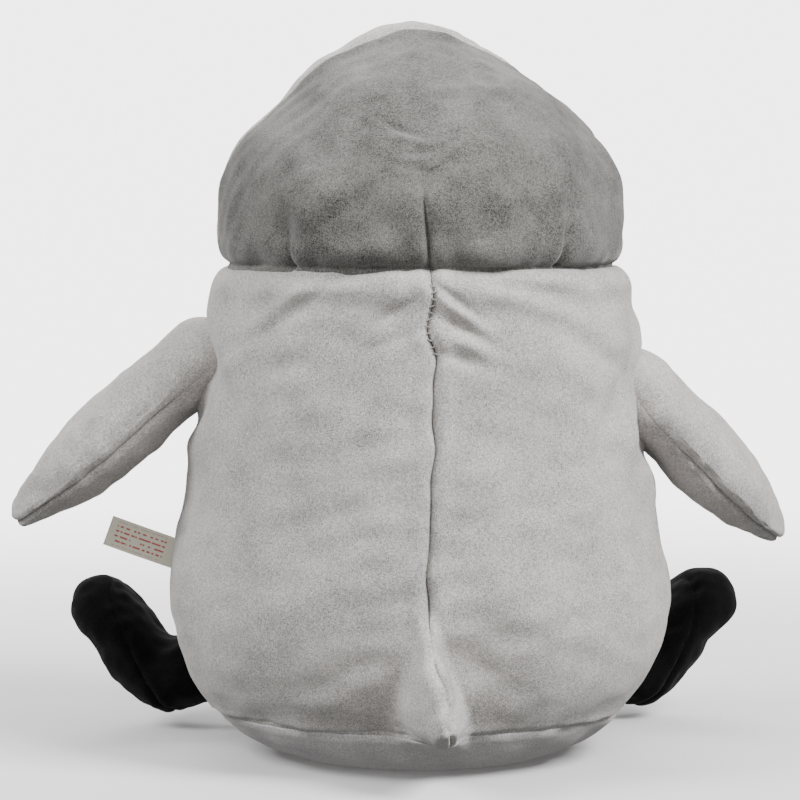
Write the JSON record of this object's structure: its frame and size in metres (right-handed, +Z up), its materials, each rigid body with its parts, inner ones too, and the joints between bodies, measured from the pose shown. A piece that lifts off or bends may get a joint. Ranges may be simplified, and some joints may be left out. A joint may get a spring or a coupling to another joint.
{
  "type": "plush penguin chick",
  "caption": "Seated plush penguin chick with a grey peaked hood, pale body, stuffed wings that flap, feet that swing, a nodding head, a short tail and a side label.",
  "frame": {"origin": "middle of the flat patch of the base that the toy sits on", "axes": "+Z up, the toy faces -Y, its left side is +X; the wings' spread along X is the longest extent and front to back the shortest"},
  "size_m": [0.4036, 0.2759, 0.3695],
  "materials": {
    "grey_plush": "short grey pile",
    "pale_plush": "short pale grey pile",
    "base_plush": "short mid grey pile",
    "black_velour": "short black pile",
    "beak_cloth": "fine black pile",
    "stuffing": "loose polyester fibre",
    "bag_cloth": "plain woven cotton",
    "pellets": "loose pellets",
    "thread": "twisted polyester thread",
    "eye_plastic": "polished",
    "washer_plastic": "moulded",
    "label_ribbon": "woven ribbon"
  },
  "bodies": {
    "torso": {"base_panel": "base_plush", "belly_panel": "pale_plush", "back_left_panel": "pale_plush", "back_right_panel": "pale_plush", "body_stuffing": "stuffing", "tail_stuffing": "stuffing", "pellet_bag": "bag_cloth", "pellets": "pellets", "closing_stitches": "thread"},
    "head": {"head_back_panel": "grey_plush", "face_left_panel": "pale_plush", "face_right_panel": "pale_plush", "head_stuffing": "stuffing", "beak_upper": "beak_cloth", "beak_lower": "beak_cloth", "beak_stuffing": "stuffing", "left_eye": "eye_plastic", "left_eye_washer": "washer_plastic", "right_eye": "eye_plastic", "right_eye_washer": "washer_plastic"},
    "left_wing": {"left_wing_upper_panel": "pale_plush", "left_wing_lower_panel": "pale_plush", "left_wing_stuffing": "stuffing"},
    "left_leg": {"left_foot_upper": "black_velour", "left_foot_sole": "black_velour", "left_foot_stuffing": "stuffing"},
    "right_wing": {"right_wing_upper_panel": "pale_plush", "right_wing_lower_panel": "pale_plush", "right_wing_stuffing": "stuffing"},
    "right_leg": {"right_foot_upper": "black_velour", "right_foot_sole": "black_velour", "right_foot_stuffing": "stuffing"},
    "label": {"care_label": "label_ribbon"}
  },
  "joints": [
    {"name": "head_nod", "type": "hinge", "parent": "torso", "child": "head", "pos_m": [0, 0, 0.268], "axis": [1, 0, 0], "range_deg": [-12, 12], "stiffness_Nm_per_rad": 0.6},
    {"name": "left_wing_flap", "type": "hinge", "parent": "torso", "child": "left_wing", "pos_m": [0.121, 0, 0.192], "axis": [0.0162, -0.9921, 0.1244], "range_deg": [-8, 75], "stiffness_Nm_per_rad": 0.12, "springref_deg": 3.44},
    {"name": "right_wing_flap", "type": "hinge", "parent": "torso", "child": "right_wing", "pos_m": [-0.121, -0.004, 0.174], "axis": [-0.3245, 0.846, -0.4231], "range_deg": [-5, 75], "stiffness_Nm_per_rad": 0.12, "springref_deg": 3.44},
    {"name": "left_leg_swing", "type": "hinge", "parent": "torso", "child": "left_leg", "pos_m": [0.084, -0.062, 0.028], "axis": [0, 0, -1], "range_deg": [-8, 50], "stiffness_Nm_per_rad": 0.06},
    {"name": "right_leg_swing", "type": "hinge", "parent": "torso", "child": "right_leg", "pos_m": [-0.074, -0.074, 0.028], "axis": [0, 0, 1], "range_deg": [-12, 40], "stiffness_Nm_per_rad": 0.06},
    {"name": "label_flap", "type": "hinge", "parent": "torso", "child": "label", "pos_m": [0.1255, -0.006, 0.1], "axis": [-0.342, 0, 0.9397], "range_deg": [-60, 60], "stiffness_Nm_per_rad": 0.0005}
  ]
}
